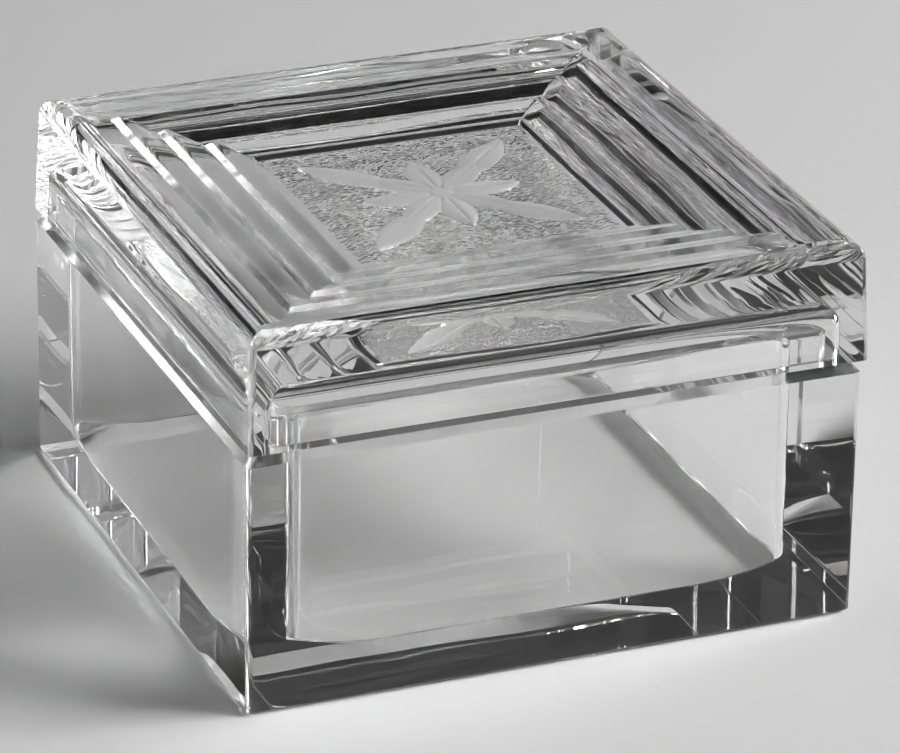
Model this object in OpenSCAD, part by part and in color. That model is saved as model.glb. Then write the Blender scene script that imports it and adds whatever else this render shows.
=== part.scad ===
// A square casket box of clear crystal: a thick-walled base and a loose lid.
// The lid's skirt drops over a raised collar on the base. Its top is a frame of
// mitred, stepped mouldings that falls inwards to a sunken square panel.
// Origin: centre of the foot, on the table. X runs along the front, Z is up.

/* [Base] */
// Side of the square base, outside
box_side = 120; // [104:1:180]
// Height of the base, from the table to the ground seat under the lid
base_h = 51.4; // [30:0.2:90]
// Thickness of the four walls
base_wall = 10.6; // [9:0.1:14]
// Thickness of the floor
base_floor = 7.8; // [4:0.1:14]
// Radius of the cavity's upright corners
cavity_corner_r = 4; // [1:0.1:8]
// Radius where the cavity's walls run into its floor
cavity_floor_r = 0.5; // [0.3:0.1:8]
// How far the cavity's floor rises at its corners
corner_lift_h = 2.5; // [0.5:0.1:6]
// Length of that rise, along the diagonal to each corner
corner_lift_l = 12; // [8:0.5:20]

/* [Collar] */
// Height of the collar above the seat
collar_h = 5.6; // [3:0.1:8]
// Free play between the collar and the lid's skirt, on each side
lid_play = 1.3; // [0.6:0.1:2]
// Radius of the collar's upright corners, outside
collar_corner_r = 2.5; // [1:0.1:4]
// Radius of the collar's top outer edge
collar_edge_r = 0.8; // [0.2:0.1:1.5]

/* [Lid] */
// Height of the lid, from the seat to the crest of its border
lid_h = 22.9; // [21:0.1:34]
// How far the lid stands out past the base, on each side, when it lies central
lid_overhang = 0.6; // [0:0.1:2]
// How far each side leans in, from the lid's foot to its rounded edge
lid_draft = 0.9; // [0:0.1:2]
// Thickness of the skirt at the lid's foot
skirt_wall = 4.4; // [3:0.1:5]
// Depth of the hollow under the lid
hollow_h = 10.6; // [8.6:0.1:13]
// Radius of the hollow's upright corners
hollow_corner_r = 2; // [0.5:0.1:2.5]
// Radius where the hollow's sides run into its ceiling
hollow_ceiling_r = 4.5; // [1:0.1:5]
// How far the loose lid lies to the right of centre, as a share of its play
lid_slip_x = 0.75; // [-0.8:0.05:0.8]
// How far the loose lid lies behind centre, as a share of its play
lid_slip_y = 0.75; // [-0.8:0.05:0.8]

/* [Moulding] */
// Width of the border, from the lid's foot to the first riser
border_w = 11.9; // [10:0.1:14]
// Radius of the border's outer edge
border_r = 3; // [1:0.1:4]
// Flat on the border's crest
border_flat_w = 1.4; // [0.4:0.1:2]
// Fall from the border's crest to the first channel
border_drop = 1.6; // [0.8:0.1:3]
// Number of stepped mouldings inside the border
step_count = 3; // [1:1:3]
// Width of each stepped moulding
step_w = 7; // [5.5:0.1:8.5]
// Fall from each channel to the next
step_drop = 0.9; // [0.4:0.05:1.3]
// Width of each riser, the steep outer face of a moulding
riser_w = 1.1; // [0.5:0.1:1.6]
// Height of each riser over the channel outside it
riser_h = 0.6; // [0.2:0.1:1]
// Width of the flat on each moulding's crest
crest_w = 1; // [0.3:0.1:1.6]
// Width of each channel
channel_w = 1.3; // [0.8:0.1:1.8]
// Depth of the fine groove at each riser's foot
quirk_d = 0.3; // [0.1:0.05:0.5]
// Width of the slope that drops to the panel
panel_slope_w = 0.7; // [0.3:0.1:1.5]

/* [Panel] */
// Radius of the rosette in the middle of the panel
rosette_r = 16; // [8:0.5:20]
// Number of petals in the rosette
petals = 8; // [5:1:12]
// Height of the relief over the panel
relief_h = 0.8; // [0.3:0.1:1.2]
// Clear way between each leaf's tip and the panel's corner
leaf_margin = 8.6; // [4:0.2:12]

/* [Edges] */
// Cut on each upright edge, measured along the wall
arris = 1.1; // [0.3:0.1:2]
// Bevel on the base's top outer edge
rim_bevel = 1.9; // [0.5:0.1:3]
// Bevel on the base's foot
foot_bevel = 0.8; // [0.3:0.1:2]

/* [Hidden] */
$fn = 96;
// Overrun that keeps a cutter's face off the face that it cuts
over = 1;
cavity_half = box_side / 2 - base_wall;
cavity_h = base_h + collar_h - base_floor;
cavity_corner = cavity_half * sqrt(2) - cavity_corner_r * (sqrt(2) - 1);
corner_lift_r = (corner_lift_l * corner_lift_l + corner_lift_h * corner_lift_h) / (2 * corner_lift_h);
lid_half = box_side / 2 + lid_overhang;
hollow_half = lid_half - skirt_wall;
collar_half = hollow_half - lid_play;
lid_place = [lid_slip_x * lid_play, lid_slip_y * lid_play, base_h];
border_channel_w = 3 * channel_w;
panel_half = lid_half - riser_x(step_count) - panel_slope_w;
panel_z = channel_z(step_count) - step_drop;
petal_root = 3;
petal_w = rosette_r * tan(180 / petals);
leaf_l = panel_half * sqrt(2) - leaf_margin - rosette_r / 2;
leaf_w = leaf_l / 3;

// Inset of riser k's foot from the lid's foot, and the height of the channel outside it
function riser_x(k) = border_w + k * step_w;
function channel_z(k) = lid_h - border_drop - k * step_drop;

// A round stretch about c, from angle a0 to angle a1
function arc(c, r, a0, a1, n = 10) =
    [for (i = [0:n]) let (a = a0 + (a1 - a0) * i / n) c + r * [cos(a), sin(a)]];

// A smooth fall from p to q, level at both ends
function ogee(p, q, n = 12) =
    [for (i = [0:n]) [p[0] + (q[0] - p[0]) * i / n, q[1] + (p[1] - q[1]) * (1 + cos(180 * i / n)) / 2]];

// One moulding: groove, riser, crest and ogee, as far as the next channel
function moulding(k) = concat(
    [[riser_x(k) - quirk_d, channel_z(k)],
     [riser_x(k), channel_z(k) - quirk_d],
     [riser_x(k) + riser_w, channel_z(k) + riser_h]],
    ogee([riser_x(k) + riser_w + crest_w, channel_z(k) + riser_h],
         [riser_x(k + 1) - channel_w, channel_z(k + 1)]));

// The lid's section from its side to its middle: X is the inset, Y the height
module lid_section()
    polygon(concat(
        [[lid_half, 0], [0, 0]],
        arc([lid_draft + border_r, lid_h - border_r], border_r, 180, 90),
        ogee([lid_draft + border_r + border_flat_w, lid_h], [border_w - border_channel_w, channel_z(0)]),
        [for (k = [0:step_count - 1]) each moulding(k)],
        [[riser_x(step_count), channel_z(step_count)],
         [lid_half - panel_half, panel_z],
         [lid_half, panel_z]]));

// The lid's left side, cut to a mitre at both ends
module lid_side()
    intersection() {
        rotate([90, 0, 0]) translate([-lid_half, 0, 0])
            linear_extrude(2 * lid_half + over, center = true) lid_section();
        linear_extrude(2 * lid_h, center = true)
            polygon([[0, 0], [-1, 1] * (lid_half + over), [-1, -1] * (lid_half + over)]);
    }

// A solid bounded by one profile, seen from the front and from the side
module crossed(length)
    intersection_for (turn = [0, 90])
        rotate([90, 0, turn]) linear_extrude(length, center = true) children();

module rounded_square(half, r) {
    square(2 * [half, half - r], center = true);
    square(2 * [half - r, half], center = true);
    for (x = [-1, 1], y = [-1, 1])
        translate([x, y] * (half - r)) circle(r);
}

// A rectangle that stands on the X axis, with its two upper corners rounded
module arched(half, height, r) {
    translate([-half, 0]) square([2 * half, height - r]);
    translate([r - half, 0]) square([2 * (half - r), height]);
    for (x = [-1, 1])
        translate([x * (half - r), height - r]) circle(r);
}

// A square block with corner_r on its upright edges and edge_r round its top
module rounded_block(half, height, corner_r, edge_r)
    intersection() {
        linear_extrude(height) rounded_square(half, corner_r);
        crossed(2 * half + over) arched(half, height, edge_r);
    }

// A square block with its four upright edges cut off, and bevels at foot and rim
module bevelled_block(half, height, cut, foot, rim)
    intersection() {
        linear_extrude(height)
            polygon([for (s = [[1, 1], [-1, 1], [-1, -1], [1, -1]], first = [0, 1])
                let (along = (s[0] * s[1] > 0) == (first == 0))
                [s[0] * (half - (along ? 0 : cut)), s[1] * (half - (along ? cut : 0))]]);
        crossed(2 * half + over)
            polygon([[foot - half, 0], [half - foot, 0], [half, foot], [half, height - rim],
                     [half - rim, height], [rim - half, height], [-half, height - rim], [-half, foot]]);
    }

// The press's plunger, upside down: its top is the cavity's floor, with the rise at each corner
module plunger(height)
    intersection() {
        rounded_block(cavity_half, height, cavity_corner_r, cavity_floor_r);
        rotate(45) crossed(4 * cavity_half)
            translate([0, -corner_lift_r])
                arched(cavity_corner - corner_lift_l + corner_lift_r, height + corner_lift_r, corner_lift_r);
    }

// A pointed leaf along X, from the origin
module leaf(length, width) {
    r = (length * length + width * width) / (4 * width);
    intersection_for (side = [-1, 1])
        translate([length / 2, side * (r - width / 2)]) circle(r);
}

// The raised flower on the panel, with a leaf towards each corner
module rosette()
    linear_extrude(relief_h + over) {
        circle(petal_root);
        for (i = [0:petals - 1])
            rotate(360 * i / petals) translate([petal_root / 2, 0])
                leaf(rosette_r - petal_root / 2, petal_w);
        for (i = [0:3])
            rotate(45 + 90 * i) translate([rosette_r / 2, 0]) leaf(leaf_l, leaf_w);
    }

module base()
    color("azure", 0.5)
        difference() {
            union() {
                bevelled_block(box_side / 2, base_h, arris, foot_bevel, rim_bevel);
                translate([0, 0, base_h - over])
                    rounded_block(collar_half, collar_h + over, collar_corner_r, collar_edge_r);
            }
            translate([0, 0, base_floor + cavity_h + over]) mirror([0, 0, 1])
                plunger(cavity_h + over);
        }

module lid()
    color("aliceblue", 0.5) translate(lid_place)
        difference() {
            union() {
                for (i = [0:3])
                    rotate(90 * i) lid_side();
                translate([0, 0, panel_z - over]) rosette();
            }
            translate([0, 0, -over])
                rounded_block(hollow_half, hollow_h + over, hollow_corner_r, hollow_ceiling_r);
            for (i = [0:3])
                rotate(45 + 90 * i) translate([lid_half * sqrt(2) - arris / sqrt(2), 0, 0])
                    rotate([0, -atan(lid_draft * sqrt(2) / (lid_h - border_r)), 0])
                        translate([0, -arris * 2, -over]) cube([arris * 2, arris * 4, lid_h + 2 * over]);
        }

base();
lid();
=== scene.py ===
"""A square casket box of thick clear crystal on a pale studio table.

The base is one thick-walled block with a raised collar. The lid is a second block,
whose skirt drops over the collar. Its top is a frame of mitred mouldings round a
sunken panel with a frosted flower in low relief.
"""

import math

import bmesh
import bpy
import numpy as np
from mathutils import Matrix, Vector


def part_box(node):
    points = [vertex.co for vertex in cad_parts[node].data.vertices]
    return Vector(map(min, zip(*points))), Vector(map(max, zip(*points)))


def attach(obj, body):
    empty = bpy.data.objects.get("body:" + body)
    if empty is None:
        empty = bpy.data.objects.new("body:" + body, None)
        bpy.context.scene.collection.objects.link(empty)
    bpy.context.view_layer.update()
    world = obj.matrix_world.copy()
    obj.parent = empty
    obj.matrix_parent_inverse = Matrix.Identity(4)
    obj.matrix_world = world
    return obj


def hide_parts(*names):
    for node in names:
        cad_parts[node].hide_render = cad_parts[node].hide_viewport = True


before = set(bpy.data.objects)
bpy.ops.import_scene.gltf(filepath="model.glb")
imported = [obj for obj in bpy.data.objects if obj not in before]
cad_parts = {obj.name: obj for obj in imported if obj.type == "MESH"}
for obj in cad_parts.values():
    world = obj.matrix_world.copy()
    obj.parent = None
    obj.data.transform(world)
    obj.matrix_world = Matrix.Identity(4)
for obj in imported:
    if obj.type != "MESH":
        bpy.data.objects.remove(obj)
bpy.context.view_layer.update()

MM = 0.001
scene = bpy.context.scene

# Sizes in millimetres, from the frame where it has them
base_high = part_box("base")[1] / MM
lid_low, lid_high = (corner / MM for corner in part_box("lid"))
BASE_HALF = base_high.x
SEAT_Z = lid_low.z
COLLAR_TOP = base_high.z
LID_HALF = (lid_high.x - lid_low.x) / 2
LID_H = lid_high.z - lid_low.z
LID_CENTRE = (lid_low + lid_high) / 2

# Base
BASE_WALL = 10.6
BASE_FLOOR = 7.8
CAVITY_CORNER_R = 4.0
CAVITY_FLOOR_R = 0.5
# The floor rises this much over this length, along the diagonal to each corner
CORNER_LIFT_H = 2.5
CORNER_LIFT_L = 12.0
RIM_BEVEL = 1.9
FOOT_BEVEL = 0.8
ARRIS = 1.1

# Collar and skirt
SKIRT_WALL = 4.4
LID_PLAY = 1.3
COLLAR_CORNER_R = 2.5
COLLAR_EDGE_R = 0.8
HOLLOW_H = 10.6
HOLLOW_CORNER_R = 2.0
HOLLOW_CEILING_R = 4.5
# The lid's foot stands this far over the seat, so that the two faces don't share one plane
SEAT_GAP = 0.04

# Mouldings
LID_DRAFT = 0.9
BORDER_W = 11.9
BORDER_R = 3.0
BORDER_FLAT_W = 1.4
BORDER_CHANNEL_W = 3.9
BORDER_DROP = 1.6
STEP_COUNT = 3
STEP_W = 7.0
STEP_DROP = 0.9
RISER_W = 1.1
RISER_H = 0.6
CREST_W = 1.0
CHANNEL_W = 1.3
QUIRK_D = 0.3
PANEL_SLOPE_W = 0.7
MITRE_R = 0.35
# Radius of the edges that look crisp
POLISH_R = 0.16

# Swell of the pressed faces: cell of its noise, and height. Slight in the cavity, more on the lid
CAVITY_SWELL_L = 26.0
CAVITY_SWELL_H = 0.14
LID_SWELL_L = 24.0
LID_SWELL_H = 0.45

# Loops of the cavity's floor, by their distance from its walls: closest where it rises to the corners
FLOOR_INSETS = (1, 2, 3, 4, 5, 6, 7, 8, 9, 10, 11, 12, 13, 16, 20, 26, 32, 38)

# Panel: a flower of pointed petals, with a leaf towards each corner
ROSETTE_R = 16.0
PETALS = 8
LEAVES = 4
RELIEF_H = 0.8
LEAF_MARGIN = 8.6
PETAL_ROOT = 3.0
PETAL_VEIN_W = 0.35
LEAF_VEIN_W = 0.3
# Heights and vein depths as shares of the relief's height
EYE_RISE = 1.15
LEAF_RISE = 0.75
PETAL_VEIN_D = 0.3
LEAF_VEIN_D = 0.35
# The wavy ground, and the width over which it dies out at the panel's edge
RIPPLE_H = 0.14
RIPPLE_FADE_W = 1.2
PANEL_MARGIN = 0.5
PANEL_CELLS = 280

# Slots of the five finishes, and how near a face must lie to count as on a plane, in millimetres
POLISHED, PRESSED, GROUND, BUFFED, FROSTED = range(5)
NEAR = 0.01

# Points on every loop's corners and sides, and on every rounded edge
CORNER_STEPS = 8
SIDE_STEPS = 48
ARC_STEPS = 8
# Faces that meet at more than this many degrees keep a crisp edge
CRISP_ANGLE = 32

# Glass and studio
CRYSTAL_IOR = 1.53
TABLE_R = 12.0
TABLE_DROP = 0.0001


# ---------------------------------------------------------------- sections

def fillet(before, corner, after, radius):
    """The arc of that radius that rounds off a corner of an outline."""
    before, corner, after = (np.array(p, float) for p in (before, corner, after))
    towards = (before - corner) / np.linalg.norm(before - corner)
    away = (after - corner) / np.linalg.norm(after - corner)
    half_angle = math.acos(np.clip(towards @ away, -1, 1)) / 2
    middle = (towards + away) / np.linalg.norm(towards + away)
    centre = corner + middle * radius / math.sin(half_angle)
    start = corner + towards * radius / math.tan(half_angle) - centre
    end = corner + away * radius / math.tan(half_angle) - centre
    sweep = math.pi - 2 * half_angle
    shares = [i / ARC_STEPS for i in range(ARC_STEPS + 1)]
    return [centre + (math.sin((1 - t) * sweep) * start + math.sin(t * sweep) * end) / math.sin(sweep)
            for t in shares]


def rounded(outline):
    """Stations (half, z, corner radius) of an outline of points (half, z, edge radius, corner radius).

    Where an edge is rounded, the loop's own corner radius shrinks or grows with its size.
    """
    stations = []
    for i, (half, z, edge_r, corner_r) in enumerate(outline):
        points = [(half, z)]
        if edge_r:
            points = fillet(outline[i - 1][:2], (half, z), outline[i + 1][:2], edge_r)
        for point_half, point_z in points:
            stations.append((point_half, point_z, max(corner_r + point_half - half, MITRE_R)))
    return stations


def base_section():
    cavity_half = BASE_HALF - BASE_WALL
    collar_half = LID_HALF - SKIRT_WALL - LID_PLAY
    return rounded([
        (BASE_HALF - 4 * FOOT_BEVEL, 0, 0, ARRIS),
        (BASE_HALF - FOOT_BEVEL, 0, POLISH_R, ARRIS),
        (BASE_HALF, FOOT_BEVEL, POLISH_R, ARRIS),
        (BASE_HALF, SEAT_Z - RIM_BEVEL, POLISH_R, ARRIS),
        (BASE_HALF - RIM_BEVEL, SEAT_Z, POLISH_R, ARRIS),
        (collar_half, SEAT_Z, POLISH_R, COLLAR_CORNER_R),
        (collar_half, COLLAR_TOP, COLLAR_EDGE_R, COLLAR_CORNER_R),
        (cavity_half, COLLAR_TOP, COLLAR_EDGE_R, CAVITY_CORNER_R),
        (cavity_half, BASE_FLOOR, CAVITY_FLOOR_R, CAVITY_CORNER_R),
    ] + [(cavity_half - inset, BASE_FLOOR, 0, max(CAVITY_CORNER_R - inset, MITRE_R))
         for inset in FLOOR_INSETS])


def floor_lift(x, y):
    """Rise of the cavity's floor over its middle."""
    corner = (BASE_HALF - BASE_WALL) * math.sqrt(2) - CAVITY_CORNER_R * (math.sqrt(2) - 1)
    lift_r = (CORNER_LIFT_L ** 2 + CORNER_LIFT_H ** 2) / (2 * CORNER_LIFT_H)
    past = max((abs(x) + abs(y)) / math.sqrt(2) - (corner - CORNER_LIFT_L), 0)
    return lift_r - math.sqrt(lift_r ** 2 - past ** 2)


def lid_section():
    """From the hollow's ceiling, round the skirt and over the mouldings, to the panel's edge.

    The border and each moulding fall in a straight slope to the next channel.
    """
    hollow_half = LID_HALF - SKIRT_WALL
    side_top = LID_HALF - LID_DRAFT
    outline = [
        (hollow_half - 2 * HOLLOW_CEILING_R, HOLLOW_H, 0, MITRE_R),
        (hollow_half, HOLLOW_H, HOLLOW_CEILING_R, HOLLOW_CORNER_R),
        (hollow_half, SEAT_GAP, POLISH_R, HOLLOW_CORNER_R),
        (LID_HALF, SEAT_GAP, POLISH_R, ARRIS),
        (side_top, LID_H, BORDER_R, ARRIS),
    ]
    crest_end = side_top - BORDER_R - BORDER_FLAT_W
    channel_start = LID_HALF - BORDER_W + BORDER_CHANNEL_W
    fall = [(crest_end, LID_H), (channel_start, channel_z(0))]
    for k in range(STEP_COUNT):
        riser = LID_HALF - riser_x(k)
        crest = riser - RISER_W
        top = channel_z(k) + RISER_H
        outline += [(half, z, 0, MITRE_R) for half, z in fall]
        outline += [
            (riser + QUIRK_D, channel_z(k), POLISH_R / 2, MITRE_R),
            (riser, channel_z(k) - QUIRK_D, POLISH_R / 2, MITRE_R),
            (crest, top, POLISH_R, MITRE_R),
        ]
        fall = [(crest - CREST_W, top), (LID_HALF - riser_x(k + 1) + CHANNEL_W, channel_z(k + 1))]
    outline += [(half, z, 0, MITRE_R) for half, z in fall]
    edge = LID_HALF - riser_x(STEP_COUNT)
    outline += [
        (edge, channel_z(STEP_COUNT), POLISH_R, MITRE_R),
        (edge - PANEL_SLOPE_W, PANEL_Z, POLISH_R, MITRE_R),
        (PANEL_HALF, PANEL_Z, 0, MITRE_R),
    ]
    return rounded(outline)


def riser_x(k):
    """Inset of riser k's foot from the lid's foot."""
    return BORDER_W + k * STEP_W


def channel_z(k):
    """Height of the channel outside riser k."""
    return LID_H - BORDER_DROP - k * STEP_DROP


PANEL_Z = channel_z(STEP_COUNT) - STEP_DROP
PANEL_EDGE = LID_HALF - riser_x(STEP_COUNT) - PANEL_SLOPE_W
PANEL_HALF = PANEL_EDGE - PANEL_MARGIN / 2
LEAF_L = PANEL_EDGE * math.sqrt(2) - LEAF_MARGIN - ROSETTE_R / 2
LEAF_W = LEAF_L / 3


# ------------------------------------------------------------------ meshes

def square_loop(half, z, corner_r):
    """Points round a square with rounded corners, anticlockwise."""
    points = []
    for quarter in range(4):
        turn = Matrix.Rotation(quarter * math.pi / 2, 3, "Z")
        for i in range(CORNER_STEPS + 1):
            angle = i / CORNER_STEPS * math.pi / 2
            x = half - corner_r * (1 - math.cos(angle))
            y = half - corner_r * (1 - math.sin(angle))
            points.append(turn @ Vector((x, y, z)))
        end = half - corner_r
        for i in range(1, SIDE_STEPS):
            points.append(turn @ Vector((end - 2 * end * i / SIDE_STEPS, half, z)))
    return points


def loft(mesh, stations):
    """A skin over square loops, with a flat face over the first. Returns the last loop's vertices."""
    loops = [[mesh.verts.new(p) for p in square_loop(*station)] for station in stations]
    count = len(loops[0])
    mesh.faces.new(loops[0][::-1])
    for low, high in zip(loops, loops[1:]):
        for i in range(count):
            j = (i + 1) % count
            mesh.faces.new((low[i], low[j], high[j], high[i]))
    return loops[-1]


def finished(mesh, name, place, materials, body):
    """The mesh as an object at its place, in metres, standing for the CAD node of its body."""
    bmesh.ops.recalc_face_normals(mesh, faces=mesh.faces[:])
    bmesh.ops.transform(mesh, matrix=Matrix.Scale(MM, 4) @ Matrix.Translation(place), verts=mesh.verts)
    data = bpy.data.meshes.new(name)
    mesh.to_mesh(data)
    mesh.free()
    data.shade_smooth()
    data.set_sharp_from_angle(angle=math.radians(CRISP_ANGLE))
    for material in materials:
        data.materials.append(material)
    piece = bpy.data.objects.new(name, data)
    scene.collection.objects.link(piece)
    hold_flats = piece.modifiers.new("hold_flats", "WEIGHTED_NORMAL")
    hold_flats.weight = 90
    hold_flats.keep_sharp = True
    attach(piece, body)
    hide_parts(body)
    return piece


# ------------------------------------------------------------------- panel

def lens_dome(along, across, length, width):
    """Height share, 0 to 1, of a pointed leaf that lies along its own axis from the origin."""
    radius = (length ** 2 + width ** 2) / (4 * width)
    chord = np.clip(radius ** 2 - (along - length / 2) ** 2, 0, None)
    half_width = np.sqrt(chord) - (radius - width / 2)
    inside = (half_width > 0) & (along > 0) & (along < length)
    share = np.where(inside, 1 - (across / np.where(inside, half_width, 1)) ** 2, 0)
    return np.sqrt(np.clip(share, 0, 1))


def relief(x, y):
    """Height share of the flower and its leaves over the panel."""
    petal_w = ROSETTE_R * math.tan(math.pi / PETALS)
    height = np.sqrt(np.clip(1 - (x ** 2 + y ** 2) / PETAL_ROOT ** 2, 0, 1)) * EYE_RISE
    for i in range(PETALS):
        turn = 2 * math.pi * i / PETALS
        along = x * math.cos(turn) + y * math.sin(turn) - PETAL_ROOT / 2
        across = y * math.cos(turn) - x * math.sin(turn)
        petal = lens_dome(along, across, ROSETTE_R - PETAL_ROOT / 2, petal_w)
        vein = 1 - PETAL_VEIN_D * np.exp(-(across / PETAL_VEIN_W) ** 2)
        height = np.maximum(height, petal * vein)
    for i in range(LEAVES):
        turn = math.pi / 4 + 2 * math.pi * i / LEAVES
        along = x * math.cos(turn) + y * math.sin(turn) - ROSETTE_R / 2
        across = y * math.cos(turn) - x * math.sin(turn)
        leaf = lens_dome(along, across, LEAF_L, LEAF_W)
        vein = 1 - LEAF_VEIN_D * np.exp(-(across / LEAF_VEIN_W) ** 2)
        height = np.maximum(height, LEAF_RISE * leaf * vein)
    return height


def wave(along, length, phase=0):
    return np.sin(2 * math.pi * along / length + phase)


def ripples(x, y):
    """The wavy, stippled ground, as height shares: short strokes that run along X.

    The strokes are 1.25 mm apart and about 1.8 mm long, on lines that slower waves bend both ways.
    """
    u = x + 1.1 * wave(y, 8.1, 1) + 0.7 * wave(y, 3.1)
    v = y + 0.9 * wave(x, 9.3) + 0.45 * wave(x, 3.7, 2) + 0.2 * wave(x, 2.1)
    strokes = wave(v, 1.25) * wave(u, 3.6, 0.8 * wave(v, 4.3))
    return 0.7 * strokes + 0.3 * wave(0.4 * u + v, 1.7)


def panel(mesh, edge_loop):
    """Fills the frame's inner loop with the panel. Faces on the relief are frosted."""
    half = PANEL_HALF - PANEL_MARGIN
    line = np.linspace(-half, half, PANEL_CELLS + 1)
    x, y = np.meshgrid(line, line)
    shape = relief(x, y)
    to_edge = half - np.maximum(abs(x), abs(y))
    fade = np.clip(to_edge / RIPPLE_FADE_W, 0, 1)
    ground = RIPPLE_H * ripples(x, y) * fade * (shape == 0)
    z = PANEL_Z + ground + RELIEF_H * shape
    grid = [[mesh.verts.new((x[i, j], y[i, j], z[i, j])) for j in range(PANEL_CELLS + 1)]
            for i in range(PANEL_CELLS + 1)]
    for i in range(PANEL_CELLS):
        for j in range(PANEL_CELLS):
            face = mesh.faces.new((grid[i][j], grid[i][j + 1], grid[i + 1][j + 1], grid[i + 1][j]))
            if shape[i, j] > 0 and shape[i + 1, j + 1] > 0:
                face.material_index = FROSTED
    rim = grid[0] + [row[-1] for row in grid] + grid[-1] + [row[0] for row in grid]
    rim = set(rim) | set(edge_loop)
    edges = [e for e in mesh.edges if e.is_boundary and e.verts[0] in rim and e.verts[1] in rim]
    bmesh.ops.triangle_fill(mesh, edges=edges, use_beauty=True)


# --------------------------------------------------------------- materials

def linear(code):
    """A linear colour from an sRGB hex code."""
    parts = [int(code[i:i + 2], 16) / 255 for i in (1, 3, 5)]
    return [p / 12.92 if p <= 0.04045 else ((p + 0.055) / 1.055) ** 2.4 for p in parts] + [1]


def node(tree, kind, inputs=None, **settings):
    """Adds a node. Each input is a value, or another node's output to link."""
    made = tree.nodes.new("ShaderNode" + kind)
    for name, value in settings.items():
        setattr(made, name, value)
    for name, value in (inputs or {}).items():
        if isinstance(value, bpy.types.NodeSocket):
            tree.links.new(value, made.inputs[name])
        else:
            made.inputs[name].default_value = value
    return made


def material(name, **inputs):
    """A material with one Principled shader. Returns it with its node tree and that shader."""
    made = bpy.data.materials.new(name)
    made.use_nodes = True
    shader = made.node_tree.nodes["Principled BSDF"]
    for key, value in inputs.items():
        shader.inputs[key.replace("_", " ")].default_value = value
    return made, made.node_tree, shader


def crystal(name, roughness, transmission=1.0):
    """Colourless crystal glass, as rough as its finish leaves it. The index is a typical one."""
    return material(name, Base_Color=linear("#FFFFFF"), Roughness=roughness, IOR=CRYSTAL_IOR,
                    Transmission_Weight=transmission)


def polished_crystal():
    """The base's outer faces and the lid's foot: plane and clear, like glass polished on a flat wheel."""
    return crystal("polished_crystal", 0.0)[0]


def pressed_crystal(name, length, height):
    """The cavity and most of the lid: clear, with a slow swell, like glass that a mould has pressed."""
    made, tree, shader = crystal(name, 0.0)
    place = node(tree, "TexCoord").outputs["Object"]
    swell = node(tree, "TexNoise", {"Vector": place, "Scale": 1 / (length * MM), "Detail": 0.0})
    bump = node(tree, "Bump", {"Height": swell.outputs["Fac"], "Distance": height * MM})
    tree.links.new(bump.outputs["Normal"], shader.inputs["Normal"])
    return made


def ground_crystal():
    """The seat: flat and matt, like glass ground with grit."""
    return crystal("ground_crystal", 0.45)[0]


def buffed_crystal():
    """The rim's bevel and the risers: a satin that blurs what they show, like glass that is only buffed."""
    return crystal("buffed_crystal", 0.2)[0]


def frosted_crystal():
    """The relief: a soft satin that scatters what is behind it, like etched glass."""
    return crystal("frosted_crystal", 0.45, transmission=0.8)[0]


def pale_table():
    """A pale, matt table top."""
    return material("pale_table", Base_Color=linear("#D6D6D6"), Roughness=0.9, Specular_IOR_Level=0.2)[0]


# ------------------------------------------------------------------ pieces

def finish_faces(mesh, finish):
    """Gives each face that isn't frosted its finish, by how far out and how high its middle is."""
    for face in mesh.faces:
        middle = face.calc_center_median()
        if face.material_index != FROSTED:
            face.material_index = finish(max(abs(middle.x), abs(middle.y)), middle.z)


def base_finish(out, z):
    if abs(z - SEAT_Z) < NEAR:
        return GROUND
    if z > SEAT_Z - RIM_BEVEL and out > BASE_HALF - RIM_BEVEL:
        return BUFFED
    return PRESSED if out < BASE_HALF - BASE_WALL + NEAR and z > FOOT_BEVEL else POLISHED


def lid_finish(out, z):
    if abs(z - SEAT_GAP) < NEAR:
        return POLISHED
    inset = LID_HALF - BORDER_W - out
    on_steps = z > HOLLOW_H and 0 < inset < (STEP_COUNT - 1) * STEP_W + RISER_W
    return BUFFED if on_steps and inset % STEP_W < RISER_W else PRESSED


def make_base(finishes):
    mesh = bmesh.new()
    floor = loft(mesh, base_section())
    mesh.faces.new(floor)
    cavity_half = BASE_HALF - BASE_WALL
    for vertex in mesh.verts:
        x, y, z = vertex.co
        inside = max(abs(x), abs(y)) < cavity_half + NEAR
        if inside and FOOT_BEVEL < z < BASE_FLOOR + CAVITY_FLOOR_R + NEAR:
            vertex.co.z += floor_lift(x, y)
    finish_faces(mesh, base_finish)
    return finished(mesh, "crystal_base", (0, 0, 0), finishes, "base")


def make_lid(finishes):
    mesh = bmesh.new()
    edge_loop = loft(mesh, lid_section())
    panel(mesh, edge_loop)
    finish_faces(mesh, lid_finish)
    place = (LID_CENTRE.x, LID_CENTRE.y, SEAT_Z)
    return finished(mesh, "crystal_lid", place, finishes, "lid")


# ------------------------------------------------------------------ studio

def add_table():
    bpy.ops.mesh.primitive_circle_add(vertices=96, radius=TABLE_R, fill_type="NGON",
                                      location=(0, 0, -TABLE_DROP))
    table = bpy.context.object
    table.name = "table"
    table.data.materials.append(pale_table())


def soft_box(name, azimuth, elevation, distance, width, height, radiance):
    """A rectangular lamp that faces the box. Its radiance stays the same when its size changes."""
    lamp = bpy.data.lights.new(name, "AREA")
    lamp.shape = "RECTANGLE"
    lamp.size = width
    lamp.size_y = height
    lamp.energy = radiance * math.pi * width * height
    a, e = math.radians(azimuth), math.radians(elevation)
    back = Vector((math.sin(a) * math.cos(e), -math.cos(a) * math.cos(e), math.sin(e)))
    holder = bpy.data.objects.new(name, lamp)
    holder.location = back * distance
    holder.rotation_mode = "QUATERNION"
    holder.rotation_quaternion = back.to_track_quat("Z", "Y")
    scene.collection.objects.link(holder)
    return holder


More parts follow.
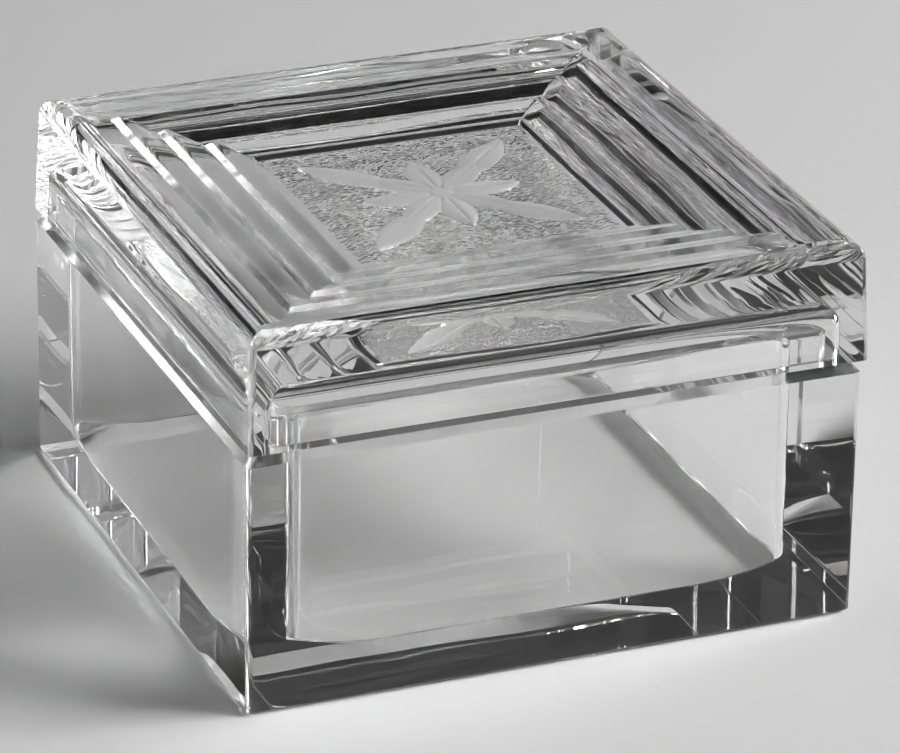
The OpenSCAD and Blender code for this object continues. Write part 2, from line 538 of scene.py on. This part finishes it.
def add_world():
    """A dark room: the glass shows the table, the lamps and the dark."""
    world = bpy.data.worlds.new("studio")
    scene.world = world
    world.use_nodes = True
    tree = world.node_tree
    direction = node(tree, "TexCoord").outputs["Generated"]
    up = node(tree, "SeparateXYZ", {"Vector": direction}).outputs["Z"]
    ramp = node(tree, "ValToRGB", {"Fac": up})
    stops = ramp.color_ramp.elements
    stops[0].position = 0.06
    stops[0].color = linear("#141414")
    stops[1].position = 0.5
    stops[1].color = linear("#0A0A0A")
    tree.links.new(ramp.outputs["Color"], tree.nodes["Background"].inputs["Color"])


def add_camera():
    """The photograph's view: azimuth, elevation and roll in degrees, distance and target in metres."""
    azimuth, elevation, roll = (math.radians(v) for v in (-22.286, 24.649, 0.899))
    distance = 1.0716
    target = Vector((0.00203, -0.00236, 0.03290))
    back = Vector((math.sin(azimuth) * math.cos(elevation),
                   -math.cos(azimuth) * math.cos(elevation), math.sin(elevation)))
    right = Vector((0, 0, 1)).cross(back).normalized()
    up = back.cross(right)
    rolled_right = math.cos(roll) * right + math.sin(roll) * up
    rolled_up = math.cos(roll) * up - math.sin(roll) * right
    data = bpy.data.cameras.new("camera")
    data.sensor_width = 36
    data.lens = 225.9
    data.clip_end = 100
    camera = bpy.data.objects.new("camera", data)
    camera.matrix_world = Matrix((
        (rolled_right.x, rolled_up.x, back.x, target.x + distance * back.x),
        (rolled_right.y, rolled_up.y, back.y, target.y + distance * back.y),
        (rolled_right.z, rolled_up.z, back.z, target.z + distance * back.z),
        (0, 0, 0, 1)))
    scene.collection.objects.link(camera)
    scene.camera = camera


polished = polished_crystal()
ground = ground_crystal()
buffed = buffed_crystal()
frosted = frosted_crystal()
pressed_base = pressed_crystal("pressed_base", CAVITY_SWELL_L, CAVITY_SWELL_H)
pressed_lid = pressed_crystal("pressed_lid", LID_SWELL_L, LID_SWELL_H)
make_base([polished, pressed_base, ground, buffed, frosted])
make_lid([polished, pressed_lid, ground, buffed, frosted])

add_table()
add_world()
soft_box("key_softbox", azimuth=65, elevation=34, distance=2.3, width=1.16, height=1.16, radiance=19.0)
soft_box("front_reflector", azimuth=14, elevation=36, distance=1.6, width=1.4, height=0.9, radiance=0.3)
add_camera()

# The glass needs many bounces, and none of the lamp's light through it may be blurred or cut off
scene.view_settings.view_transform = "Standard"
scene.cycles.max_bounces = 32
scene.cycles.transmission_bounces = 32
scene.cycles.glossy_bounces = 32
scene.cycles.blur_glossy = 0
scene.cycles.sample_clamp_indirect = 0
